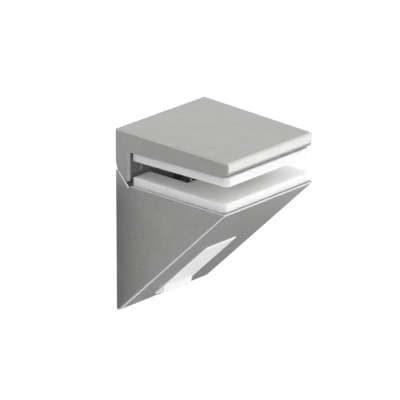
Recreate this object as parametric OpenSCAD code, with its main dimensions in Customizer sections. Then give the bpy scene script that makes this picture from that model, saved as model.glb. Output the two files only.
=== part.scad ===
// Wall clamp for a level glass panel: a die-cast lower jaw screwed to the wall, a die-cast
// upper jaw that slides down into it, a soft pad on each, and a clamp screw that is turned
// from below through a slot in the sloping face, which a plastic cover closes.
//
// X runs along the wall, the wall is the plane y = 0, the clamp stands out towards -Y and
// +Z is up. The origin is the wall screw's centre where the screw enters the wall. The jaws
// are shown screwed fully together.

/* [Lower jaw] */
// Width of both jaws along the wall
body_w = 50; // [46:1:64]
// Depth of the lower jaw from the wall to its nose
jaw_d = 54.8; // [52:0.2:70]
// Height of the deck above the bottom edge
deck_h = 53.5; // [52:0.1:60]
// Height of the thin upright face at the nose
nose_t = 0.8; // [0.6:0.1:1.2]
// Thickness of the side walls and of the sloping wall
wall_t = 2.4; // [2:0.1:3]
// Thickness of the deck
deck_t = 2.5; // [2:0.1:3.5]
// Thickness of the two upright walls inside
cheek_t = 2.2; // [1.6:0.1:3]
// Thickness of the strips that hold the tongue back
guide_t = 1.8; // [1.4:0.1:2.2]
// Rounding of the outer edges
edge_r = 1.1; // [0.6:0.1:1.6]
// Rounding of the bottom edge at the wall
bottom_r = 1.5; // [1:0.1:2.4]
// Bevel of the deck's edges
deck_bevel = 0.3; // [0.1:0.05:0.4]
// Distance of the rear end of the deck from the wall
deck_rear = 8.4; // [7.8:0.1:8.8]
// Thickness of the lip behind the stem at its root
lip_t = 7; // [6.6:0.1:7.2]
// Angle of the lip's face that the stem's foot drops onto
lip_angle = 47; // [44:0.5:49]
// Depth of the groove between the lip and the deck
groove_drop = 0.9; // [0.5:0.1:1.2]
// Bevel of the lip's two ends
lip_bevel = 0.45; // [0.2:0.05:0.7]
// Diameter of the ejector marks on the back
eject_d = 4; // [3:0.5:5]
// Depth of the ejector marks
eject_t = 0.3; // [0.1:0.1:0.5]

/* [Wall fixing] */
// Height of the wall screw above the bottom edge
wall_screw_h = 14.4; // [12:0.1:15]
// Diameter of the hole for the wall screw
wall_hole_d = 5.5; // [4.5:0.1:6.5]
// Thickness of the web that the wall screw pulls on
web_t = 3; // [2.5:0.1:3.2]
// Diameter of the seat round the wall screw's hole
seat_d = 12; // [10:0.5:13]
// Height of that seat in front of the web
seat_t = 1; // [0.5:0.1:1.5]

/* [Upper jaw] */
// Depth of the top plate from the wall
plate_d = 55.4; // [50:0.2:70]
// Thickness of the top plate at the wall
plate_t = 8.1; // [7:0.1:10]
// Fall of the top plate's upper face towards the front
top_fall = 1.2; // [0.5:0.1:2]
// Rise of the top plate's lower face towards the front
under_rise = 0.9; // [0.4:0.1:1.5]
// How much narrower the top plate is at the front than at the wall
plate_taper = 2.3; // [1:0.1:4]
// Thickness of the stem, front to back
stem_t = 6.9; // [7:0.1:7.6]
// Height of the stem's foot above the deck
foot_gap = 1.3; // [1:0.1:2]
// Height of the stepped part of the stem's back above the lip
step_h = 2.9; // [1.5:0.1:4]
// How far that step stands in at its deepest
step_t = 1.35; // [1:0.05:1.6]
// How much higher the foot's front edge is than its lowest point
foot_rise = 0.3; // [0:0.1:0.8]
// Setback of the stem's foot from the lip
foot_back = 1.1; // [0.8:0.1:1.4]
// Gap behind the upper jaw, so that it slides clear of the wall
back_gap = 0.1; // [0.05:0.05:0.3]
// Rounding of the upper jaw's edges
plate_r = 0.9; // [0.4:0.05:1.2]
// Rounding of the top plate's lower front edge
front_r = 2.6; // [1:0.1:3]
// Bevel of the stem's two upright front edges
stem_bevel = 0.85; // [0.4:0.1:1.2]
// Diameter of the round moulding marks on the stem
mark_d = 5.8; // [4:0.2:7]
// Depth of those marks
mark_t = 0.4; // [0.1:0.05:0.6]
// Distance of those marks' centres from the jaw's sides
mark_in = 4.7; // [4:0.1:6]
// Height of those marks' centres above the stem's foot
mark_up = 5; // [4.2:0.1:7]
// Depth of the recess in the stem on each side of the ribs
recess_t = 2.4; // [1.5:0.1:3]
// Width of that recess outside each rib
recess_side = 1.7; // [1.2:0.1:3]

/* [Slide] */
// Width of the tongue that slides inside the lower jaw
tongue_w = 23.7; // [22:0.1:25]
// Thickness of the tongue
tongue_t = 3.6; // [3:0.1:3.7]
// Running gap round the tongue on each side
slide_gap = 0.15; // [0.1:0.05:0.2]
// Width of the well in the deck that the tongue's arm rises through
well_w = 20; // [18:0.5:21]
// Distance of the well's front edge from the wall
well_d = 26; // [24:0.5:28]
// Width of the tongue's arm
arm_w = 16; // [14:0.5:17]
// Material in front of the nut in the arm
arm_front = 2; // [1.5:0.1:2.5]
// Material above and below the nut in the arm
arm_wall = 2.2; // [1.8:0.1:2.4]
// Distance between the centres of the tongue's two ribs
rib_pitch = 12; // [11:0.2:12.6]
// Thickness of each rib
rib_t = 2; // [1.6:0.1:2.4]
// How far the ribs stand out from the wall
rib_d = 11.3; // [10.5:0.1:11.5]
// How far below the upper pad the ribs are cut back
rib_drop = 2.4; // [1.5:0.1:3]
// Gap between the ribs and the upper pad
rib_gap = 0.8; // [0.5:0.1:0.9]
// Height of the ribs' lower end above the stem's foot
rib_foot = 0.6; // [0.3:0.1:0.8]
// Height over which the tongue runs up into the ribs
tongue_lap = 0.9; // [0.6:0.1:1.2]
// How far the upper jaw travels up
jaw_travel = 12; // [8:0.5:12.5]

/* [Pads] */
// Gap for the glass between the pads at their rear, with the jaws together
glass_gap = 5.7; // [5.5:0.1:9]
// Thickness of the lower pad
low_pad_t = 3.6; // [3:0.1:4.5]
// Thickness of the upper pad
up_pad_t = 3.7; // [2.6:0.1:4]
// Distance of the lower pad's rear edge from the wall
pad_rear = 9.1; // [9:0.1:10]
// Distance of the upper pad's rear edge from the wall
up_pad_rear = 8.1; // [7.9:0.1:9]
// How far the lower pad stays inside the deck's edges
low_inset = 0.5; // [0.3:0.1:1.5]
// How far the upper pad stays inside the plate's narrow end
up_inset = 0.3; // [0.2:0.1:1.5]
// Rounding of the pads' two upright front corners
pad_corner = 2.2; // [1.2:0.1:3]
// Rounding of the pads' edges next to the glass
pad_r = 0.55; // [0.4:0.05:1.1]
// Rounding of the pads' edges next to the jaws
pad_foot_r = 0.3; // [0.1:0.05:0.5]
// Width of the notch in the lower pad
notch_w = 31; // [28:0.5:34]
// Distance of the notch's front edge from the wall
notch_d = 28.3; // [27.5:0.1:30]
// Diameter of the pads' pegs
peg_d = 4; // [3:0.2:4.4]
// Gap round each peg in its hole
peg_gap = 0.05; // [0.02:0.01:0.1]
// Length of the pegs
peg_len = 2.2; // [1.5:0.1:2.4]
// Distance of the rear pegs from the wall
peg_rear = 17; // [15:0.5:20]
// Distance of the lower pad's front pegs from the jaw's nose
low_peg_in = 17; // [12:0.5:20]
// Distance of the upper pad's front pegs from the plate's front
up_peg_in = 13; // [10:0.5:20]

/* [Clamp screw] */
// Thread diameter of the screw
screw_d = 5; // [4.6:0.1:5]
// Length of the screw under its head
screw_len = 25; // [24:0.5:28]
// Bevel of the screw's tip
tip_bevel = 0.6; // [0.3:0.1:0.9]
// Diameter of the screw's head
head_d = 8.5; // [7.5:0.1:9]
// Height of the screw's head
head_h = 5; // [4:0.1:5]
// Bevel of the head's edge
head_bevel = 0.4; // [0.2:0.1:0.6]
// Width across the flats of the key's socket
key_w = 4; // [3:0.5:4]
// Depth of the key's socket
key_t = 2.8; // [2:0.1:3]
// Distance of the screw's centre from the wall
screw_y = 13.5; // [13.2:0.1:14]
// Height of the ledge's lower face above the bottom edge
ledge_h = 27.4; // [26.5:0.1:28]
// Thickness of the ledge
ledge_t = 2.5; // [2:0.1:2.8]
// Gap round the screw in the ledge and in the arm
screw_gap = 0.35; // [0.3:0.05:0.5]
// Running gap between the screw's thread and the nut
thread_gap = 0.05; // [0.02:0.01:0.1]
// Outer diameter of the washer
washer_d = 10; // [9.5:0.5:11]
// Thickness of the washer
washer_t = 1; // [0.6:0.1:1.2]
// Width across the flats of the square nut
nut_w = 8; // [7.5:0.1:8.4]
// Height of the square nut
nut_h = 4; // [3.2:0.1:4]
// Bevel of the nut's upper corners
nut_bevel = 0.9; // [0.5:0.1:1.2]
// Gap round the nut in its pocket
nut_gap = 0.12; // [0.1:0.01:0.2]
// Outer diameter of the retaining clip
clip_d = 8.4; // [7.6:0.1:9]
// Thickness of the retaining clip
clip_t = 0.7; // [0.5:0.1:0.8]
// Depth of the clip's groove in the screw
groove_t = 0.45; // [0.3:0.05:0.5]

/* [Slot cover] */
// Width of the slot in the sloping face
slot_w = 16; // [14:0.5:18]
// Length of the slot along the sloping face
slot_len = 35.6; // [33:0.1:37]
// Distance of the slot's lower end from the bottom edge, along the sloping face
slot_low = 7.2; // [6.4:0.1:8]
// How far the cover's rim laps over the sloping face
rim_lap = 0.4; // [0.3:0.1:0.8]
// How far the cover stands out from the sloping face
cover_t = 0.55; // [0.4:0.05:1]
// Bevel round the cover's outer face
cover_bevel = 0.4; // [0.2:0.05:0.5]
// Thickness of the cover's plate inside the slot
plug_t = 0.9; // [0.6:0.1:1.2]
// Gap round the cover in the slot
cover_gap = 0.12; // [0.08:0.02:0.2]
// Depth of the cover's two side ribs behind the sloping face
skirt_t = 3.8; // [3:0.1:4]
// Thickness of those ribs
skirt_w = 1.1; // [0.8:0.1:1.4]
// Distance of those ribs from the slot's ends
skirt_in = 5; // [3:0.5:8]
// How far the finger ridge stands out from the cover
ridge_t = 1.5; // [1:0.1:2]
// Distance of the finger ridge from the cover's lower end
ridge_low = 2.2; // [1.6:0.1:3]
// Length of the finger ridge along the slope
ridge_run = 3.6; // [3:0.1:7]

/* [Hidden] */
$fn = 64;

// How far a cutter runs past what it cuts, and how far joined pieces run into each other
over = 1;
bite = 0.01;

// A rounding's circle runs this far past the faces it joins, so that it crosses them cleanly
cross = 0.01;

// Heights in the part's own frame
bottom_z = -wall_screw_h;
deck_z = bottom_z + deck_h;
seat_z = deck_z + low_pad_t;
grip_z = seat_z + glass_gap;
under_z = grip_z + up_pad_t;
top_z = under_z + plate_t;

// Sharp crest of the lip, before its edge is rounded
crest_z = deck_z - groove_drop + lip_t * tan(lip_angle);

// Angles of the sloping face and of the top plate's lower face
slope = atan2(deck_h - nose_t, jaw_d);
under_tilt = atan2(under_rise, plate_d);

// The slide
tongue_back = web_t + slide_gap;
tongue_front = tongue_back + tongue_t;
guide_w = tongue_w + 2 * slide_gap;
guide_front = tongue_front + slide_gap;
cheek_w = guide_w + 2 * cheek_t;
inner_w = body_w - 2 * wall_t;
pocket_x = (cheek_w + inner_w) / 4;

// The stem, its back stepped in over the lip, and the recess in its front round the ribs
stem_front = back_gap + stem_t;
stem_top = under_z + stem_front * tan(under_tilt);
stem_low = deck_z + foot_gap;
step_d = back_gap + step_t;
step_low = deck_z - groove_drop + (lip_t - step_d) * tan(lip_angle) + slide_gap;
foot_d = lip_t - foot_back;
recess_w = rib_pitch + rib_t + 2 * recess_side;
recess_top = grip_z + rib_gap;

// The ribs between the stem and the arm
rib_low = stem_low + rib_foot;
rib_top = under_z + 0.3;
rib_head_d = up_pad_rear - rib_gap;

// The clamp screw, and the nut that the arm holds where the screw's tip ends the travel
ledge_z = bottom_z + ledge_h;
ledge_top = ledge_z + ledge_t;
ledge_d = screw_y + washer_d / 2 + 1.5;
head_z = ledge_z - washer_t;
tip_z = head_z + screw_len;
thread_r = screw_d / 2 - thread_gap;
nut_z = tip_z - jaw_travel - nut_h;
arm_low = nut_z - arm_wall;
arm_top = nut_z + nut_h + arm_wall;
arm_d = screw_y + nut_w / 2 + arm_front;
clip_gap = 0.04;

// The slot and its cover, along the sloping face
slot_high = slot_low + slot_len;
rim_w = slot_w + 2 * rim_lap;
plug_w = slot_w - 2 * cover_gap;
ridge_s = slot_low - rim_lap + ridge_low;

// The finger ridge's side outline, as shares of its length and of its height
ridge_shape = [[0, 0], [0.1, 0.67], [0.18, 0.92], [0.29, 1], [0.45, 0.87], [1, 0]];

silver = [0.70, 0.70, 0.68];
white = [0.94, 0.94, 0.93];
steel = [0.55, 0.56, 0.57];

function unit(v) = v / norm(v);

// Centre of a circle at distance r from both sides of corner p, between corners a and b
function seat(a, p, b, r) =
    let (u = unit(a - p), v = unit(b - p))
    p + unit(u + v) * r / sqrt((1 - u * v) / 2);

// Direction from point c square on to the line through p and a
function square_on(c, p, a) =
    let (u = unit(a - p))
    unit(p + u * ((c - p) * u) - c);

// Width of the upper jaw at distance d from the wall
function plate_w(d) = body_w - plate_taper * d / plate_d;

// Height of the sloping wall's inner face at distance d from the wall
function inner_slope_z(d) = bottom_z + d * tan(slope) + wall_t / cos(slope);

// Distance from the wall at which the sloping wall's inner face reaches height z
function inner_slope_d(z) = (z - inner_slope_z(0)) / tan(slope);

// What is cut off corner p of an outline, between corners a and b, to round it to radius r
module corner_cut(a, p, b, r)
    let (c = seat(a, p, b, r - cross), reach = r + over)
    difference() {
        polygon([c, c + square_on(c, p, a) * reach, c + (p - c) * reach / (r - cross),
                 c + square_on(c, p, b) * reach]);
        translate(c)
            circle(r);
    }

// A plate of width w along X, from a side outline in [y, z]
module across(w, x = 0)
    translate([x - w / 2, 0, 0])
        rotate([90, 0, 90])
            linear_extrude(w)
                children();

// A box of width w centred on X, between two distances from the wall and two heights
module slab(w, y0, y1, z0, z1)
    translate([-w / 2, -y1, z0])
        cube([w, y1 - y0, z1 - z0]);

// The sloping face's own frame: X across, Y up the slope from the bottom edge, Z outwards
module on_slope()
    translate([0, 0, bottom_z])
        rotate([180 - slope, 0, 0])
            children();

// The frame of the top plate's lower face: Y back towards the wall, Z into the plate
module under_plate()
    translate([0, 0, under_z])
        rotate([-under_tilt, 0, 0])
            children();

// Places for a pad's pegs, two on each side
module at_pegs(rear, front)
    for (side = [-1, 1], d = [rear, front])
        translate([side * pocket_x, -d, 0])
            children();

// Side outline of the lower jaw, from its bottom edge round by the nose, the deck and the lip
jaw_outline = [[0, bottom_z], [-jaw_d, deck_z - nose_t], [-jaw_d, deck_z], [-deck_rear, deck_z],
               [-lip_t, deck_z - groove_drop], [0, crest_z]];

// The wedge with its lip, its outer edges rounded
module jaw_outside()
    difference() {
        across(body_w)
            polygon(jaw_outline);
        across(body_w + 2 * over) {
            corner_cut(jaw_outline[5], jaw_outline[0], jaw_outline[1], bottom_r);
            corner_cut(jaw_outline[0], jaw_outline[1], jaw_outline[2], nose_t / 2);
            corner_cut(jaw_outline[1], jaw_outline[2], jaw_outline[3], nose_t / 2);
            corner_cut(jaw_outline[4], jaw_outline[5], jaw_outline[0], edge_r);
        }
        for (side = [0, 1])
            mirror([side, 0, 0]) {
                translate([0, 0, bottom_z - over])
                    linear_extrude(crest_z - bottom_z + 2 * over)
                        corner_cut([0, 0], [body_w / 2, 0], [body_w / 2, -jaw_d], edge_r);
                on_slope()
                    translate([0, jaw_d / cos(slope) + over, 0])
                        rotate([90, 0, 0])
                            linear_extrude(jaw_d / cos(slope) + 2 * over)
                                corner_cut([0, 0], [body_w / 2, 0], [body_w / 2, -jaw_d], edge_r);
                bevel_along(body_w / 2, jaw_d + over, deck_z, 0, jaw_d - deck_rear + 2 * over,
                            deck_bevel);
                bevel_along(body_w / 2, lip_t, deck_z - groove_drop, lip_angle,
                            lip_t / cos(lip_angle) + over, lip_bevel);
            }
    }

// A cutter that bevels an edge of length len, from distance d and height z up towards the wall
module bevel_along(x, d, z, angle, len, size)
    translate([x, -d, z])
        rotate([angle - 90, 0, 0])
            linear_extrude(len)
                rotate(45)
                    square(size * sqrt(2), center = true);

// Side pockets behind the sloping wall, open at the back
module side_pockets()
    for (side = [-1, 1])
        across((inner_w - cheek_w) / 2, side * pocket_x)
            polygon([[over, inner_slope_z(0)], [0, inner_slope_z(0)],
                     [-inner_slope_d(deck_z - deck_t), deck_z - deck_t], [over, deck_z - deck_t]]);

// The channel between the cheeks, from the web to the sloping wall
module channel()
    across(guide_w)
        polygon([[-web_t, inner_slope_z(web_t)],
                 [-inner_slope_d(deck_z - deck_t), deck_z - deck_t],
                 [-web_t, deck_z - deck_t]]);

// The well through the deck, and behind it the slot that the tongue drops through
module deck_opening() {
    slab(well_w, web_t, well_d, deck_z - deck_t - over, deck_z + over);
    slab(guide_w, web_t, guide_front, deck_z - deck_t - over, crest_z + over);
}

module slope_slot()
    on_slope()
        translate([-slot_w / 2, slot_low, -wall_t - 10 * bite])
            cube([slot_w, slot_len, wall_t + over]);

// Upright strips that hold the tongue back against the web
module guides()
    for (side = [-1, 1])
        translate([side * (well_w + guide_w) / 4, 0, 0])
            slab((guide_w - well_w) / 2 + 2 * bite, guide_front, guide_front + guide_t,
                 ledge_top - bite, deck_z - deck_t + bite);

module wall_seat()
    rotate([90, 0, 0])
        translate([0, 0, web_t - bite])
            cylinder(d = seat_d, h = seat_t + bite);

// Round marks that the ejector pins leave on the back
module ejector_marks()
    for (side = [-1, 1], z = [head_z - 2 * head_h - eject_d, deck_z - deck_t - eject_d])
        translate([side * (guide_w - eject_d) / 2, -eject_t, z])
            rotate([-90, 0, 0])
                cylinder(d = eject_d, h = eject_t + over);

// Casting that is screwed to the wall
module lower_jaw()
    color(silver)
        difference() {
            union() {
                difference() {
                    jaw_outside();
                    side_pockets();
                    channel();
                    deck_opening();
                    slope_slot();
                }
                slab(guide_w + 2 * bite, web_t - bite, ledge_d, ledge_z, ledge_top);
                guides();
                wall_seat();
            }
            rotate([90, 0, 0])
                translate([0, 0, -over])
                    cylinder(d = wall_hole_d, h = web_t + seat_t + 2 * over);
            ejector_marks();
            translate([0, -screw_y, ledge_z - over])
                cylinder(r = screw_d / 2 + screw_gap, h = ledge_t + 2 * over);
            at_pegs(peg_rear, jaw_d - low_peg_in)
                translate([0, 0, deck_z - deck_t - over])
                    cylinder(r = peg_d / 2 + peg_gap, h = deck_t + 2 * over);
        }

// Side outline of the upper jaw: the top, the stem's stepped back, its foot and the top plate
upper_outline = [[-back_gap, top_z], [-back_gap, crest_z + step_h], [-step_d, step_low],
                 [-foot_d, stem_low], [-stem_front, stem_low + foot_rise],
                 [-stem_front, stem_top],
                 [-plate_d, under_z + under_rise], [-plate_d, top_z - top_fall]];

// Plan outline of the upper jaw's left and right halves, narrower at the front
upper_plan = [[0, -back_gap], [plate_w(back_gap) / 2, -back_gap], [plate_w(plate_d) / 2, -plate_d],
              [0, -plate_d]];
taper_turn = atan2(plate_taper / 2, plate_d);
fall_turn = atan2(top_fall, plate_d);

// The top plate and the stem in one, with rounded outer edges
module jaw_top()
    difference() {
        intersection() {
            across(body_w + 2 * over)
                polygon(upper_outline);
            translate([0, 0, stem_low - over])
                linear_extrude(top_z - stem_low + 2 * over)
                    polygon([upper_plan[1], upper_plan[2], [-upper_plan[2][0], -plate_d],
                             [-upper_plan[1][0], -back_gap]]);
        }
        across(body_w + 2 * over) {
            corner_cut(upper_outline[7], upper_outline[0], upper_outline[1], plate_r);
            corner_cut(upper_outline[6], upper_outline[7], upper_outline[0], plate_r);
            corner_cut(upper_outline[5], upper_outline[6], upper_outline[7], front_r);
        }
        for (side = [0, 1])
            mirror([side, 0, 0]) {
                translate([0, 0, stem_low - over])
                    linear_extrude(top_z - stem_low + 2 * over) {
                        corner_cut(upper_plan[0], upper_plan[1], upper_plan[2], plate_r);
                        corner_cut(upper_plan[1], upper_plan[2], upper_plan[3], plate_r);
                    }
                translate([plate_w(0) / 2, 0, top_z])
                    rotate([fall_turn, 0, -taper_turn])
                        translate([0, over, 0])
                            rotate([90, 0, 0])
                                linear_extrude(plate_d + 2 * over)
                                    corner_cut([-plate_d, 0], [0, 0], [0, -plate_d], plate_r);
                translate([plate_w(stem_front) / 2, -stem_front, stem_low - over])
                    linear_extrude(under_z - stem_low + over)
                        rotate(45)
                            square(stem_bevel * sqrt(2), center = true);
            }
    }

// One stiffening rib from the arm up to the stem, cut back under the upper pad
module tongue_rib(side)
    across(rib_t, side * rib_pitch / 2)
        polygon([[-tongue_front + bite, arm_top - bite], [-rib_d, arm_top - bite],
                 [-rib_d, grip_z - rib_drop], [-rib_head_d, grip_z - foot_rise],
                 [-rib_head_d, rib_top], [-stem_front + recess_t, rib_top],
                 [-stem_front + recess_t, rib_low], [-tongue_front + bite, rib_low]]);

// Arm that carries the nut, with the nut's pocket open at the front
module tongue_arm()
    difference() {
        slab(arm_w, tongue_front - bite, arm_d, arm_low, arm_top);
        slab(nut_w + 2 * nut_gap, screw_y - nut_w / 2 - nut_gap, arm_d + over,
             nut_z, nut_z + nut_h + nut_gap);
    }

// Casting that slides down into the lower jaw
module upper_jaw()
    color(silver)
        difference() {
            union() {
                difference() {
                    jaw_top();
                    slab(recess_w, stem_front - recess_t, stem_front + over,
                         stem_low - over, recess_top);
                }
                slab(tongue_w, tongue_back, tongue_front, arm_low, rib_low + tongue_lap);
                tongue_arm();
                tongue_rib(-1);
                tongue_rib(1);
            }
            translate([0, -screw_y, arm_low - over])
                cylinder(r = screw_d / 2 + screw_gap, h = arm_top - arm_low + 2 * over);
            for (side = [-1, 1])
                translate([side * (body_w / 2 - mark_in), -stem_front - over, stem_low + mark_up])
                    rotate([-90, 0, 0])
                        cylinder(d = mark_d, h = mark_t + over);
            under_plate()
                at_pegs(peg_rear, plate_d - up_peg_in)
                    translate([0, 0, -over])
                        cylinder(r = peg_d / 2 + peg_gap, h = peg_len + cover_gap + over);
        }

// A pad's section at its edge: reach out from the corner's centre, and height
module pad_edge(reach, t)
    difference() {
        square([reach, t]);
        corner_cut([0, t], [reach, t], [reach, 0], pad_r);
        corner_cut([reach, t], [reach, 0], [0, 0], pad_foot_r);
    }

// A pad lying on z = 0, rounded at the sides and the front next to the glass, square at the rear
module pad_blank(w, y0, y1, t) {
    corner_x = w / 2 - pad_corner;
    corner_y = y1 - pad_corner;
    for (side = [0, 1])
        mirror([side, 0, 0]) {
            translate([0, -y0, 0])
                rotate([90, 0, 0])
                    linear_extrude(corner_y - y0)
                        pad_edge(w / 2, t);
            translate([corner_x, -corner_y, 0])
                rotate_extrude()
                    pad_edge(pad_corner, t);
        }
    across(2 * corner_x)
        translate([-corner_y + pad_corner, 0])
            mirror([1, 0])
                pad_edge(2 * pad_corner, t);
}

module peg(len)
    cylinder(d = peg_d, h = len);

// Soft pad that the glass lies on
module lower_pad()
    color(white) {
        translate([0, 0, deck_z])
            difference() {
                pad_blank(body_w - 2 * low_inset, pad_rear, jaw_d - low_inset, low_pad_t);
                slab(notch_w, pad_rear - over, notch_d, -over, low_pad_t + over);
            }
        at_pegs(peg_rear, jaw_d - low_peg_in)
            translate([0, 0, deck_z - peg_len])
                peg(peg_len + bite);
    }

// Soft pad under the top plate
module upper_pad()
    color(white)
        under_plate() {
            mirror([0, 0, 1])
                pad_blank(body_w - plate_taper - 2 * up_inset, up_pad_rear, plate_d - up_inset,
                          up_pad_t);
            at_pegs(peg_rear, plate_d - up_peg_in)
                translate([0, 0, -bite])
                    peg(peg_len + bite);
        }

// A cutter that bevels the cover's outer face along the slope at x
module cover_bevel_along(x, s, len)
    translate([x, s + len / 2, cover_t])
        rotate([0, 45, 0])
            cube([cover_bevel * sqrt(2), len, cover_bevel * sqrt(2)], center = true);

// Snap-in cover over the slot in the sloping face
module slot_cover()
    color(white)
        on_slope() {
            difference() {
                translate([-rim_w / 2, slot_low - rim_lap, 0])
                    cube([rim_w, slot_len + 2 * rim_lap, cover_t]);
                for (side = [0, 1])
                    mirror([side, 0, 0])
                        cover_bevel_along(rim_w / 2, slot_low - rim_lap - over,
                                          slot_len + 2 * rim_lap + 2 * over);
                for (s = [slot_low - rim_lap, slot_high + rim_lap])
                    translate([0, s, cover_t])
                        rotate([45, 0, 0])
                            cube([rim_w + 2 * over, cover_bevel * sqrt(2), cover_bevel * sqrt(2)],
                                 center = true);
            }
            translate([-plug_w / 2, slot_low + cover_gap, -plug_t])
                cube([plug_w, slot_len - 2 * cover_gap, plug_t + bite]);
            for (side = [-1, 1])
                translate([side * (plug_w - skirt_w) / 2 - skirt_w / 2, slot_low + skirt_in, -skirt_t])
                    cube([skirt_w, slot_len - 2 * skirt_in, skirt_t]);
            intersection() {
                across(rim_w)
                    translate([ridge_s, cover_t - bite])
                        scale([ridge_run, ridge_t + bite])
                            polygon(ridge_shape);
                translate([0, slot_high, cover_t - bite])
                    rotate([90, 0, 0])
                        linear_extrude(slot_high)
                            polygon([[-rim_w / 2 + cover_bevel, 0], [rim_w / 2 - cover_bevel, 0],
                                     [rim_w / 2 - ridge_t, ridge_t + over],
                                     [-rim_w / 2 + ridge_t, ridge_t + over]]);
            }
        }

// Socket-head screw that pulls the upper jaw down, its head below the ledge
module clamp_screw()
    color(steel)
        translate([0, -screw_y, head_z])
            difference() {
                rotate_extrude()
                    polygon([[0, -head_h], [head_d / 2 - head_bevel, -head_h],
                             [head_d / 2, -head_h + head_bevel], [head_d / 2, 0], [thread_r, 0],
                             [thread_r, ledge_top - head_z],
                             [thread_r - groove_t, ledge_top - head_z],
                             [thread_r - groove_t, ledge_top - head_z + clip_t + clip_gap],
                             [thread_r, ledge_top - head_z + clip_t + clip_gap],
                             [thread_r, screw_len - tip_bevel],
                             [thread_r - tip_bevel, screw_len], [0, screw_len]]);
                translate([0, 0, -head_h - over])
                    cylinder(d = key_w / cos(30), h = key_t + over, $fn = 6);
            }

// Washer between the screw's head and the ledge
module screw_washer()
    color(steel)
        translate([0, -screw_y, head_z])
            difference() {
                cylinder(d = washer_d, h = washer_t);
                translate([0, 0, -over])
                    cylinder(r = screw_d / 2 + screw_gap, h = washer_t + 2 * over);
            }

// Open clip in the screw's groove, which keeps the screw from dropping out of the ledge
module retaining_clip()
    color(steel)
        translate([0, -screw_y, ledge_top + clip_gap / 2])
            rotate([0, 0, 120])
                rotate_extrude(angle = 300)
                    translate([thread_r - groove_t + clip_gap, 0])
                        square([clip_d / 2 - thread_r + groove_t - clip_gap, clip_t]);

// Square nut held by the arm
module clamp_nut()
    color(steel)
        translate([0, -screw_y, nut_z])
            difference() {
                intersection() {
                    translate([-nut_w / 2, -nut_w / 2, 0])
                        cube([nut_w, nut_w, nut_h]);
                    rotate_extrude()
                        polygon([[0, 0], [nut_w * 0.75, 0], [nut_w * 0.75, nut_h - nut_bevel],
                                 [nut_w / 2, nut_h], [0, nut_h]]);
                }
                translate([0, 0, -over])
                    cylinder(d = screw_d, h = nut_h + 2 * over);
            }

lower_jaw();
upper_jaw();
lower_pad();
upper_pad();
slot_cover();
clamp_screw();
screw_washer();
retaining_clip();
clamp_nut();
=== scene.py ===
import math

import bpy
import numpy as np
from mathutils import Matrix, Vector


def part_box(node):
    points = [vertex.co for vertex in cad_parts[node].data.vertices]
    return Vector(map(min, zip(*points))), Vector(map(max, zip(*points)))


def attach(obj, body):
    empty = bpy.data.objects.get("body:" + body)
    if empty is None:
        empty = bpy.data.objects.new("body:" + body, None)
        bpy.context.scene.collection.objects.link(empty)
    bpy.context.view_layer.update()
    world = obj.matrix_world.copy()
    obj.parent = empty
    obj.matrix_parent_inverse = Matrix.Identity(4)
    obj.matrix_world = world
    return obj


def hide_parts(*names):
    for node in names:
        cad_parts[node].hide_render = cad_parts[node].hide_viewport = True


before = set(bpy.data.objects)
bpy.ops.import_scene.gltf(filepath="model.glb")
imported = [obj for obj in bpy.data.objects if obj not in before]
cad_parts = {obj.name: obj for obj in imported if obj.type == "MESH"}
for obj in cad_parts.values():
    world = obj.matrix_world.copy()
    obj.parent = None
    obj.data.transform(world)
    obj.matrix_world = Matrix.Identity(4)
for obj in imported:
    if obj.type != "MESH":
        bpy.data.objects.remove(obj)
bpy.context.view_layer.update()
print("frame loaded:", sorted(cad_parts))


def linearColor(hexText):
    # sRGB hex to linear RGBA
    parts = [int(hexText[i:i + 2], 16) / 255 for i in (1, 3, 5)]
    return tuple(c / 12.92 if c <= 0.04045 else ((c + 0.055) / 1.055) ** 2.4 for c in parts) + (1.0,)


def addNode(tree, kind, settings=None, links=None, stops=None, **values):
    # settings are the node's properties, links its sockets' sources, values its other sockets by
    # name, and stops a colour ramp's positions with their sRGB hex colours
    node = tree.nodes.new(kind)
    for name, value in (settings or {}).items():
        setattr(node, name, value)
    for index, (position, hexText) in enumerate(stops or []):
        elements = node.color_ramp.elements
        if index == len(elements):
            elements.new(position)
        elements[index].position = position
        elements[index].color = linearColor(hexText)
    for name, value in values.items():
        node.inputs[name.replace("_", " ")].default_value = value
    for name, output in (links or {}).items():
        tree.links.new(output, node.inputs[name])
    return node


def newMaterial(name):
    material = bpy.data.materials.new(name)
    material.use_nodes = True
    tree = material.node_tree
    tree.nodes.clear()
    return material, tree, addNode(tree, "ShaderNodeOutputMaterial")


def setMaterial(obj, material):
    for slot in obj.material_slots:
        slot.material = material
    if not obj.material_slots:
        obj.data.materials.append(material)


silverLook = {
    "dark": "#8b8b89",
    "mid": "#979796",
    "light": "#a2a2a1",
    "smoothest": 0.37,
    "roughest": 0.47,
    "metallic": 0.7,
    "flakeMm": 0.45,  # real flakes are about 0.03 mm, drawn coarser so that the grain shows
    "cloudMm": 9.0,
    "cloudShare": 0.2,
    "bumpMm": 0.04,
    "bumpStrength": 0.12,
}


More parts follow.
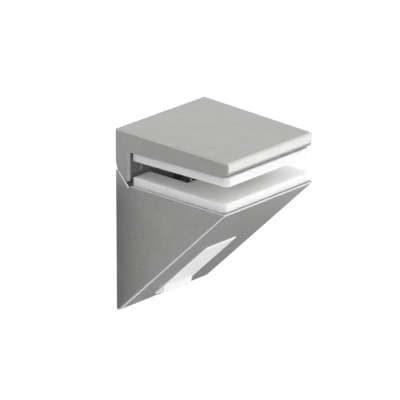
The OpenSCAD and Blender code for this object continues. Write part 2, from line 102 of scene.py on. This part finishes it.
def makeSilver(look):
    # Satin silver lacquer sprayed on zinc die casting: aluminium flakes give a fine mottled
    # grain, the sprayed coat a soft unevenness over a few millimetres
    material, tree, output = newMaterial("satinSilverLacquer")
    where = addNode(tree, "ShaderNodeTexCoord").outputs["Object"]
    flakes = addNode(tree, "ShaderNodeTexNoise", links={"Vector": where},
                     Scale=1000 / look["flakeMm"], Detail=3.0, Roughness=0.6)
    clouds = addNode(tree, "ShaderNodeTexNoise", links={"Vector": where},
                     Scale=1000 / look["cloudMm"], Detail=2.0, Roughness=0.5)
    both = addNode(tree, "ShaderNodeMix", {"data_type": "FLOAT"},
                   {"A": flakes.outputs["Fac"], "B": clouds.outputs["Fac"]},
                   Factor=look["cloudShare"])
    tint = addNode(tree, "ShaderNodeValToRGB", links={"Fac": both.outputs["Result"]},
                   stops=[(0.32, look["dark"]), (0.5, look["mid"]), (0.68, look["light"])])
    rough = addNode(tree, "ShaderNodeMapRange", links={"Value": flakes.outputs["Fac"]},
                    From_Min=0.3, From_Max=0.7, To_Min=look["smoothest"], To_Max=look["roughest"])
    bump = addNode(tree, "ShaderNodeBump", links={"Height": flakes.outputs["Fac"]},
                   Strength=look["bumpStrength"], Distance=look["bumpMm"] / 1000)
    shader = addNode(tree, "ShaderNodeBsdfPrincipled", links={
        "Base Color": tint.outputs["Color"], "Roughness": rough.outputs["Result"],
        "Normal": bump.outputs["Normal"]}, Metallic=look["metallic"])
    tree.links.new(shader.outputs["BSDF"], output.inputs["Surface"])
    return material


# scatterMm is how far light spreads inside, in red, green and blue
padLook = {
    "dark": "#e8e8e7",
    "light": "#efefee",
    "roughness": 0.42,
    "grainMm": 0.6,
    "bumpMm": 0.03,
    "bumpStrength": 0.1,
    "scatter": 1.0,
    "scatterMm": (3.0, 3.0, 2.9),
}
coverLook = {
    "dark": "#e6e6e5",
    "light": "#ededec",
    "roughness": 0.36,
    "grainMm": 0.45,
    "bumpMm": 0.03,
    "bumpStrength": 0.1,
    "scatter": 0.2,
    "scatterMm": (3.0, 3.0, 2.9),
}


def makePlastic(name, look):
    # Moulded polyethylene: a waxy white that lets a little light in at its edges, with the
    # faint spark-eroded grain of the mould
    material, tree, output = newMaterial(name)
    where = addNode(tree, "ShaderNodeTexCoord").outputs["Object"]
    grain = addNode(tree, "ShaderNodeTexNoise", links={"Vector": where},
                    Scale=1000 / look["grainMm"], Detail=3.0, Roughness=0.55)
    tint = addNode(tree, "ShaderNodeValToRGB", links={"Fac": grain.outputs["Fac"]},
                   stops=[(0.35, look["dark"]), (0.65, look["light"])])
    bump = addNode(tree, "ShaderNodeBump", links={"Height": grain.outputs["Fac"]},
                   Strength=look["bumpStrength"], Distance=look["bumpMm"] / 1000)
    shader = addNode(tree, "ShaderNodeBsdfPrincipled", links={
        "Base Color": tint.outputs["Color"], "Normal": bump.outputs["Normal"]},
        Roughness=look["roughness"], IOR=1.51, Subsurface_Weight=look["scatter"],
        Subsurface_Radius=[spread / 1000 for spread in look["scatterMm"]], Subsurface_Scale=1.0)
    tree.links.new(shader.outputs["BSDF"], output.inputs["Surface"])
    return material


steelLook = {
    "dark": "#8c9094",
    "light": "#b4b7b9",
    "smoothest": 0.22,
    "roughest": 0.4,
    "grainMm": 0.5,
}


def makeSteel(look):
    # Rolled and turned steel with bright zinc plating: bluish grey, streaked by the plating bath
    material, tree, output = newMaterial("brightZincPlatedSteel")
    where = addNode(tree, "ShaderNodeTexCoord").outputs["Object"]
    streaks = addNode(tree, "ShaderNodeTexNoise", links={"Vector": where},
                      Scale=1000 / look["grainMm"], Detail=4.0, Roughness=0.6)
    tint = addNode(tree, "ShaderNodeValToRGB", links={"Fac": streaks.outputs["Fac"]},
                   stops=[(0.3, look["dark"]), (0.7, look["light"])])
    rough = addNode(tree, "ShaderNodeMapRange", links={"Value": streaks.outputs["Fac"]},
                    From_Min=0.3, From_Max=0.7, To_Min=look["smoothest"], To_Max=look["roughest"])
    shader = addNode(tree, "ShaderNodeBsdfPrincipled", links={
        "Base Color": tint.outputs["Color"], "Roughness": rough.outputs["Result"]}, Metallic=1.0)
    tree.links.new(shader.outputs["BSDF"], output.inputs["Surface"])
    return material


silver = makeSilver(silverLook)
padPlastic = makePlastic("mouldedPolyethylenePad", padLook)
coverPlastic = makePlastic("mouldedWhiteCover", coverLook)
steel = makeSteel(steelLook)
for node, material in {"lower_jaw": silver, "upper_jaw": silver, "lower_pad": padPlastic,
                       "upper_pad": padPlastic, "slot_cover": coverPlastic, "clamp_screw": steel,
                       "screw_washer": steel, "retaining_clip": steel, "clamp_nut": steel}.items():
    setMaterial(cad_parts[node], material)
print("materials done")


def ringSurface(name, rings, ends, sharpAngle):
    # point (i, j) is point j of ring i: each ring is closed and joined to the next by quads;
    # ends "poles" closes the first and last ring on their middles, "loop" joins them
    count, around = rings.shape[:2]
    points = rings.reshape(-1, 3)
    steps = count if ends == "loop" else count - 1
    i = np.repeat(np.arange(steps), around)
    j = np.tile(np.arange(around), steps)
    nextI = (i + 1) % count
    nextJ = (j + 1) % around
    faces = np.stack([i * around + j, i * around + nextJ, nextI * around + nextJ,
                      nextI * around + j], axis=1).tolist()
    if ends == "poles":
        points = np.vstack([points, rings[0].mean(axis=0), rings[-1].mean(axis=0)])
        k = np.arange(around)
        nextK = (k + 1) % around
        first = np.stack([nextK, k, np.full(around, len(points) - 2)], axis=1)
        base = (count - 1) * around
        last = np.stack([base + k, base + nextK, np.full(around, len(points) - 1)], axis=1)
        faces += first.tolist() + last.tolist()
    mesh = bpy.data.meshes.new(name)
    mesh.from_pydata(points.tolist(), [], faces)
    mesh.polygons.foreach_set("use_smooth", np.ones(len(mesh.polygons), dtype=bool))
    mesh.set_sharp_from_angle(angle=math.radians(sharpAngle))
    piece = bpy.data.objects.new(name, mesh)
    bpy.context.scene.collection.objects.link(piece)
    return piece


def boxMiddle(node):
    low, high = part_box(node)
    return [(a + b) / 2 for a, b in zip(low, high)]


def placeRings(radius, height, angle, middle, bottom):
    # a point stands at middle + radius (cos angle, sin angle), at height above bottom; mm in, m out
    rings = np.stack([radius * np.cos(angle), radius * np.sin(angle),
                      np.broadcast_to(height, radius.shape)], axis=2) / 1000
    return rings + np.array([middle[0], middle[1], bottom])


def threadRadius(height, angle, crest, depth, pitch):
    # share = height / pitch - angle / turn, within one pitch, which makes a right-hand thread;
    # the flat crest is an eighth of the pitch, the flat root a quarter, with flanks between them
    crestFlat = 1 / 8
    rootFlat = 1 / 4
    share = np.mod(height / pitch - angle / (2 * math.pi), 1.0)
    fromRoot = np.abs(share - 0.5) * 2
    inward = (1 - crestFlat - fromRoot) / (1 - crestFlat - rootFlat)
    return crest - depth * np.clip(inward, 0, 1)


screwLook = {
    "around": 96,
    "pitch": 0.8,
    "crest": 2.45,
    "depth": 0.43,
    "headR": 4.25,
    "headH": 5.0,
    "keyAcross": 4.0,
    "keyDepth": 2.8,
    "keyTip": 0.5,
    "keyBevel": 0.12,
    "knurls": 32,
    "knurlDepth": 0.07,
    "fillet": 0.12,
    "grooveLow": 8.5,
    "grooveHigh": 9.24,
    "grooveR": 2.0,
    "length": 30.0,
    "tipBevel": 0.6,
    "rowsPerPitch": 12,
}


def makeScrew(look):
    # Socket-head screw as rings: radius (cos angle, sin angle) over its height. The socket's
    # radius is half its width over cos(angle from the flat), the head's has a fine knurl, and
    # the shank's is the thread's
    angle = np.linspace(0, 2 * math.pi, look["around"], endpoint=False)
    plain = np.ones_like(angle)
    flat = np.mod(angle + math.pi / 6, math.pi / 3) - math.pi / 6
    key = look["keyAcross"] / 2 / np.cos(flat)
    head = look["headR"]
    knurl = head - look["knurlDepth"] * (0.5 - 0.5 * np.cos(look["knurls"] * angle))
    top = look["headH"]
    crest = look["crest"]
    groove = look["grooveR"]
    # (height, radius) from the socket's bottom out over the head and up to the groove
    lowRows = [(look["keyDepth"] + look["keyTip"], 0.05 * plain), (look["keyDepth"], key * 0.98),
               (look["keyDepth"], key), (look["keyBevel"], key), (0.0, key + look["keyBevel"]),
               (0.0, (head - 0.45) * plain), (0.1, (head - 0.2) * plain),
               (0.35, (head - 0.02) * plain), (0.5, knurl), (top - 0.3, knurl),
               (top - 0.2, (head - 0.02) * plain), (top, (head - 0.15) * plain),
               (top, (crest + look["fillet"]) * plain), (top + look["fillet"], crest * plain),
               (look["grooveLow"], crest * plain), (look["grooveLow"], groove * plain),
               (look["grooveHigh"], groove * plain)]
    rows = int((look["length"] - look["grooveHigh"]) / look["pitch"] * look["rowsPerPitch"])
    height = np.linspace(look["grooveHigh"], look["length"], rows)[:, None]
    thread = threadRadius(height, angle[None, :], crest, look["depth"], look["pitch"])
    tip = crest - np.clip(height - (look["length"] - look["tipBevel"]), 0, None)
    radius = np.vstack([np.array([row[1] for row in lowRows]), np.minimum(thread, tip)])
    heights = np.vstack([np.array([[row[0]] for row in lowRows]), height])
    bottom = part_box("clamp_screw")[0][2]
    rings = placeRings(radius, heights, angle[None, :], boxMiddle("clamp_screw"), bottom)
    screw = ringSurface("socketHeadScrew", rings, "poles", 35)
    setMaterial(screw, steel)
    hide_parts("clamp_screw")
    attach(screw, "screw")


nutLook = {
    "around": 96,
    "width": 8.0,
    "height": 4.0,
    "squareness": 14,
    "bevel": 0.9,
    "cornerReach": 1.66,
    "crest": 2.52,
    "depth": 0.43,
    "pitch": 0.8,
    "sink": 0.35,
    "sinkSlope": 1.5,
    "rowsPerPitch": 12,
}


def makeNut(look):
    # Square nut as rings: the outside's radius is half the width over the power mean of
    # |cos| and |sin|, its top is held in by a cone, and the bore's radius is the thread's
    angle = np.linspace(0, 2 * math.pi, look["around"], endpoint=False)
    half = look["width"] / 2
    power = look["squareness"]
    square = half / (np.abs(np.cos(angle)) ** power + np.abs(np.sin(angle)) ** power) ** (1 / power)
    top = look["height"]
    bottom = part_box("clamp_nut")[0][2]
    # the nut's thread is the screw's, so it is counted from the screw's bottom
    lift = (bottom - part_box("clamp_screw")[0][2]) * 1000
    # the cone leaves half the width at the top and reaches the corners lower down
    falls = np.linspace(look["bevel"], 0, 7)
    cone = [(top - fall, np.minimum(square, half + fall / look["bevel"] * look["cornerReach"]))
            for fall in falls]
    outer = [(0.0, square - 0.2), (0.05, square - 0.06), (0.2, square)] + cone
    rows = int(top / look["pitch"] * look["rowsPerPitch"])
    height = np.linspace(top, 0, rows)[:, None]
    bore = threadRadius(height + lift, angle[None, :], look["crest"], look["depth"], look["pitch"])
    widen = np.clip(look["sink"] - np.minimum(height, top - height), 0, None) * look["sinkSlope"]
    bore = np.maximum(bore, look["crest"] - look["depth"] + widen)
    radius = np.vstack([np.array([row[1] for row in outer]), bore])
    heights = np.vstack([np.array([[row[0]] for row in outer]), height])
    rings = placeRings(radius, heights, angle[None, :], boxMiddle("clamp_nut"), bottom)
    nut = ringSurface("squareNut", rings, "loop", 35)
    setMaterial(nut, steel)
    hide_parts("clamp_nut")
    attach(nut, "sliding_jaw")


washerLook = {"around": 96, "outerR": 5.0, "innerR": 2.85, "height": 1.0, "roll": 0.25}


def makeWasher(look):
    # Stamped washer: its section is a rectangle with a rolled-over upper edge, carried round
    angle = np.linspace(0, 2 * math.pi, look["around"], endpoint=False)
    turn = np.radians([0, 22, 45, 68, 90])
    roll = look["roll"]
    shoulder = look["height"] - roll
    # (height, radius) from the bore's lower edge round the outside and back into the bore
    section = [(0.0, look["innerR"] + 0.04), (0.0, look["outerR"] - 0.03), (0.03, look["outerR"])]
    section += [(shoulder + roll * math.sin(t), look["outerR"] - roll + roll * math.cos(t)) for t in turn]
    section += [(shoulder + roll * math.sin(t), look["innerR"] + roll - roll * math.cos(t))
                for t in turn[::-1]]
    section = np.array(section + [(0.04, look["innerR"])])
    radius = section[:, 1:2] * np.ones_like(angle)[None, :]
    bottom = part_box("screw_washer")[0][2]
    rings = placeRings(radius, section[:, 0:1], angle[None, :], boxMiddle("screw_washer"), bottom)
    washer = ringSurface("stampedWasher", rings, "loop", 50)
    setMaterial(washer, steel)
    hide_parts("screw_washer")
    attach(washer, "screw")


clipLook = {
    "points": 181,
    "openTurn": 60,
    "outerR": 4.2,
    "innerR": 2.04,
    "reliefR": 2.75,
    "prongs": 3,
    "height": 0.7,
    "edge": 0.06,
    "endShare": 0.04,
    "endFall": 0.25,
}


def makeClip(look):
    # Retaining clip: a band round the groove, open towards the wall. Its inner radius is the
    # groove's at the prongs and wider between them; the section is a rectangle with its
    # corners taken off, carried along the arc, and both ends are closed on their middles
    half = math.radians(look["openTurn"] / 2)
    angle = np.linspace(math.pi / 2 + half, 5 * math.pi / 2 - half, look["points"])
    share = (angle - angle[0]) / (angle[-1] - angle[0])
    waves = share * (look["prongs"] - 1) * 2 * math.pi
    prong = np.clip(np.cos(waves) * 1.6 - 0.3, 0, 1)
    inner = look["reliefR"] - (look["reliefR"] - look["innerR"]) * prong
    nearEnd = np.clip(1 - np.minimum(share, 1 - share) / look["endShare"], 0, 1)
    outer = look["outerR"] - look["endFall"] * nearEnd ** 2
    e = look["edge"]
    h = look["height"]
    # across is 0 at the inner radius and 1 at the outer one, shift moves it in millimetres
    section = np.array([(0, 0, e), (0, 0, h - e), (0, e, h), (1, -e, h), (1, 0, h - e), (1, 0, e),
                        (1, -e, 0), (0, e, 0)])
    across, shift, up = section.T[:, None, :]
    radius = inner[:, None] * (1 - across) + outer[:, None] * across + shift
    heights = np.repeat(up, len(angle), axis=0)
    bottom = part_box("retaining_clip")[0][2]
    rings = placeRings(radius, heights, angle[:, None], boxMiddle("clamp_screw"), bottom)
    clip = ringSurface("retainingClip", rings, "poles", 30)
    setMaterial(clip, steel)
    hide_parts("retaining_clip")
    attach(clip, "screw")


makeScrew(screwLook)
makeNut(nutLook)
makeWasher(washerLook)
makeClip(clipLook)
print("fittings done")

stageLook = {
    "floorZ": -0.5,
    "floorSize": 12.0,
    "floorColour": "#f4f4f4",
    "paintedTo": 0.55,
    "whiteFrom": 0.8,
    "ambient": 0.13,
    "lampAim": (0.0, -0.025, 0.03),
}


def lookedAt(tree):
    # 1 on camera, reflection and transmission rays, 0 on the rays that only carry light about
    path = addNode(tree, "ShaderNodeLightPath")
    seen = addNode(tree, "ShaderNodeMath", {"operation": "MAXIMUM"},
                   {0: path.outputs["Is Camera Ray"], 1: path.outputs["Is Glossy Ray"]})
    seenToo = addNode(tree, "ShaderNodeMath", {"operation": "MAXIMUM"},
                      {0: seen.outputs["Value"], 1: path.outputs["Is Transmission Ray"]})
    return seenToo.outputs["Value"]


def makeFloor(look):
    # A level square; its underside is clear, so that views from below see past it
    half = look["floorSize"] / 2
    z = look["floorZ"]
    mesh = bpy.data.meshes.new("paleFloor")
    mesh.from_pydata([(-half, -half, z), (half, -half, z), (half, half, z), (-half, half, z)], [],
                     [(0, 1, 2, 3)])
    floor = bpy.data.objects.new("paleFloor", mesh)
    bpy.context.scene.collection.objects.link(floor)
    material, tree, output = newMaterial("paleFloorPaint")
    # near the object the floor is painted, so that it keeps the shadow; further out it is white
    where = addNode(tree, "ShaderNodeTexCoord").outputs["Object"]
    distance = addNode(tree, "ShaderNodeVectorMath", {"operation": "LENGTH"}, {"Vector": where})
    fade = addNode(tree, "ShaderNodeMapRange", links={"Value": distance.outputs["Value"]},
                   From_Min=look["paintedTo"], From_Max=look["whiteFrom"])
    share = addNode(tree, "ShaderNodeMath", {"operation": "MULTIPLY"},
                    {0: lookedAt(tree), 1: fade.outputs["Result"]})
    paint = addNode(tree, "ShaderNodeBsdfDiffuse", Color=linearColor(look["floorColour"]))
    glow = addNode(tree, "ShaderNodeEmission", Color=(1, 1, 1, 1), Strength=1.0)
    mix = addNode(tree, "ShaderNodeMixShader", links={
        0: share.outputs["Value"], 1: paint.outputs["BSDF"], 2: glow.outputs["Emission"]})
    clear = addNode(tree, "ShaderNodeBsdfTransparent")
    side = addNode(tree, "ShaderNodeNewGeometry")
    top = addNode(tree, "ShaderNodeMixShader", links={
        0: side.outputs["Backfacing"], 1: mix.outputs["Shader"], 2: clear.outputs["BSDF"]})
    tree.links.new(top.outputs["Shader"], output.inputs["Surface"])
    mesh.materials.append(material)


def makeWorld(look):
    # White where it is looked at, a weaker even light for everything else
    world = bpy.data.worlds.new("whiteStudio")
    bpy.context.scene.world = world
    world.use_nodes = True
    tree = world.node_tree
    tree.nodes.clear()
    output = addNode(tree, "ShaderNodeOutputWorld")
    ambient = addNode(tree, "ShaderNodeBackground", Color=(1, 1, 1, 1), Strength=look["ambient"])
    white = addNode(tree, "ShaderNodeBackground", Color=(1, 1, 1, 1), Strength=1.0)
    mix = addNode(tree, "ShaderNodeMixShader", links={
        0: lookedAt(tree), 1: ambient.outputs["Background"], 2: white.outputs["Background"]})
    tree.links.new(mix.outputs["Shader"], output.inputs["Surface"])


def directionTo(azimuth, elevation):
    # (sin a cos e, -cos a cos e, sin e): azimuth from the front, elevation above level
    a, e = math.radians(azimuth), math.radians(elevation)
    return Vector((math.sin(a) * math.cos(e), -math.cos(a) * math.cos(e), math.sin(e)))


# each softbox: direction as azimuth and elevation from the front, distance, side and power
softboxes = {
    "lowKeySoftbox": (48, -19, 0.9, 0.5, 2.9),
    "highKeySoftbox": (50, 33, 0.9, 1.1, 6.4),
    "fillSoftbox": (-62, 17, 0.9, 0.3, 3.8),
    "underSoftbox": (-20, -86, 0.45, 0.3, 0.72),
    "backSoftbox": (135, 25, 0.9, 0.6, 0.62),
    "rightSoftbox": (85, 9, 0.9, 0.5, 2.5),
    "topSoftbox": (-151, 50, 0.9, 0.5, 1.6),
}


def addSoftbox(name, azimuth, elevation, distance, side, power):
    # it stands at the distance in its direction from the clamp's middle, and faces that middle
    away = directionTo(azimuth, elevation)
    lamp = bpy.data.lights.new(name, "AREA")
    lamp.shape = "SQUARE"
    lamp.size = side
    lamp.energy = power
    obj = bpy.data.objects.new(name, lamp)
    obj.location = Vector(stageLook["lampAim"]) + away * distance
    obj.rotation_euler = (-away).to_track_quat("-Z", "Y").to_euler()
    obj.visible_camera = False
    bpy.context.scene.collection.objects.link(obj)


# dark cards met only by reflections, each as its four corners and a colour: one behind the wall
# side gives the lower jaw's side its darker edge towards the wall, and one behind and below
# keeps the sloping wall from reflecting only white
flags = {
    "wallFlag": ("#0e0e0e", [(-0.046, 0.012, -0.032), (-0.027, 0.012, -0.032),
                             (-0.027, 0.012, 0.032), (-0.046, 0.012, 0.032)]),
    "slopeFlag": ("#828282", [(0.03, 0.09, -0.03), (0.13, 0.0, -0.02),
                              (0.10, -0.02, -0.12), (0.01, 0.06, -0.12)]),
}


def addFlag(name, colour, corners):
    mesh = bpy.data.meshes.new(name)
    mesh.from_pydata(corners, [], [(0, 1, 2, 3)])
    flag = bpy.data.objects.new(name, mesh)
    bpy.context.scene.collection.objects.link(flag)
    material, tree, output = newMaterial(name + "Felt")
    felt = addNode(tree, "ShaderNodeBsdfDiffuse", Color=linearColor(colour))
    tree.links.new(felt.outputs["BSDF"], output.inputs["Surface"])
    mesh.materials.append(material)
    flag.visible_camera = False
    flag.visible_diffuse = False
    flag.visible_shadow = False


makeFloor(stageLook)
makeWorld(stageLook)
for name, values in flags.items():
    addFlag(name, *values)
for name, values in softboxes.items():
    addSoftbox(name, *values)

cameraLook = {
    "azimuth": -47.98,
    "elevation": 20.32,
    "distance": 1.69651,
    "lens": 405.0,
    "sensor": 36.0,
    "nearest": 0.05,
    "furthest": 50.0,
    "aim": (0.0, -0.02049, 0.02976),
}


def makeCamera(look):
    # the camera stands at the distance in its direction from its aim, and looks at the aim
    away = directionTo(look["azimuth"], look["elevation"])
    data = bpy.data.cameras.new("camera")
    data.lens = look["lens"]
    data.sensor_width = look["sensor"]
    data.clip_start = look["nearest"]
    data.clip_end = look["furthest"]
    camera = bpy.data.objects.new("camera", data)
    camera.location = Vector(look["aim"]) + away * look["distance"]
    camera.rotation_euler = (-away).to_track_quat("-Z", "Y").to_euler()
    bpy.context.scene.collection.objects.link(camera)
    bpy.context.scene.camera = camera


makeCamera(cameraLook)
bpy.context.scene.view_settings.view_transform = "Standard"
print("stage done")
